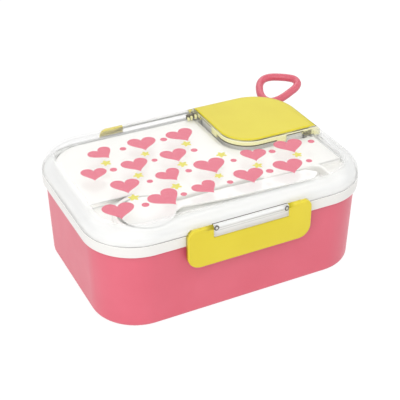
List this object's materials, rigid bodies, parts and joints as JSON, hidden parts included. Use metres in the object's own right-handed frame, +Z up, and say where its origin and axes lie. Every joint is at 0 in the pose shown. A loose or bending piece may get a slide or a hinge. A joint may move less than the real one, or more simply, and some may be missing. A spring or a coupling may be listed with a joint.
{
  "type": "bento lunch box",
  "caption": "Oblong lunch box with a tapered tub, cutlery tray, clear snap lid with hinged side latches, corner sauce flap and carry loop.",
  "frame": {"origin": "middle of the tub's flat foot, on the table", "axes": "+X along the long side, the front latch faces -Y, +Z up through the clear lid"},
  "size_m": [0.2422, 0.1859, 0.08],
  "materials": {
    "pink": "satin moulded polypropylene",
    "white": "smooth moulded white",
    "cutlery": "smooth moulded white",
    "clear": "clear moulded plastic",
    "seal": "soft translucent silicone",
    "pin_plastic": "smooth moulded rod",
    "yellow": "satin moulded yellow",
    "yellow_top": "satin moulded yellow",
    "pale_yellow": "satin moulded pale yellow",
    "steel": "ground rod",
    "pink_silicone": "matt silicone"
  },
  "bodies": {
    "tub": {"base_box": "pink"},
    "divider": {"divider": "white"},
    "tray": {"inner_tray": "white", "base_seal": "seal", "loop_pin": "steel"},
    "cup": {"sauce_cup": "white"},
    "spoon": {"spoon": "cutlery"},
    "fork": {"fork": "cutlery"},
    "lid": {"clear_lid": "clear", "lid_seal": "seal"},
    "front_latch": {"front_latch": "yellow", "front_latch_pin": "pin_plastic"},
    "rear_latch": {"rear_latch": "yellow", "rear_latch_pin": "pin_plastic"},
    "flap": {"flap_cover": "yellow_top", "flap_frame": "pale_yellow", "cup_seal": "seal", "flap_pin": "steel"},
    "loop": {"carry_loop": "pink_silicone"}
  },
  "joints": [
    {"name": "lid_lift", "type": "slide", "parent": "tub", "child": "lid", "axis": [0, 0, 1], "range_m": [0, 0.07]},
    {"name": "tray_lift", "type": "slide", "parent": "tub", "child": "tray", "axis": [0, 0, 1], "range_m": [0, 0.03]},
    {"name": "divider_lift", "type": "slide", "parent": "tub", "child": "divider", "axis": [0, 0, 1], "range_m": [0, 0.0245]},
    {"name": "cup_lift", "type": "slide", "parent": "tray", "child": "cup", "axis": [0, 0, 1], "range_m": [0, 0.02]},
    {"name": "spoon_lift", "type": "slide", "parent": "tray", "child": "spoon", "axis": [0, 0, 1], "range_m": [0, 0.021]},
    {"name": "fork_lift", "type": "slide", "parent": "tray", "child": "fork", "axis": [0, 0, 1], "range_m": [0, 0.0105]},
    {"name": "front_latch_swing", "type": "hinge", "parent": "lid", "child": "front_latch", "pos_m": [0, -0.0768, 0.0717], "axis": [-1, 0, 0], "range_deg": [0, 110.1]},
    {"name": "rear_latch_swing", "type": "hinge", "parent": "lid", "child": "rear_latch", "pos_m": [0, 0.0768, 0.0717], "axis": [1, 0, 0], "range_deg": [0, 110.1]},
    {"name": "flap_swing", "type": "hinge", "parent": "lid", "child": "flap", "pos_m": [0.10251, 0.019, 0.07185], "axis": [0, 1, 0], "range_deg": [0, 105]},
    {"name": "loop_swing", "type": "hinge", "parent": "tray", "child": "loop", "pos_m": [0.09699, 0.06649, 0.06445], "axis": [-0.7071, 0.7071, 0], "range_deg": [-15, 80]}
  ],
  "couplings": [
    {"joint": "tray_lift", "follows": "lid_lift", "ratio": 0.42857},
    {"joint": "divider_lift", "follows": "lid_lift", "ratio": 0.35},
    {"joint": "cup_lift", "follows": "lid_lift", "ratio": 0.28571},
    {"joint": "spoon_lift", "follows": "lid_lift", "ratio": 0.3},
    {"joint": "fork_lift", "follows": "lid_lift", "ratio": 0.15},
    {"joint": "front_latch_swing", "follows": "lid_lift", "rad_per_m": 27.427},
    {"joint": "rear_latch_swing", "follows": "lid_lift", "rad_per_m": 27.427}
  ]
}
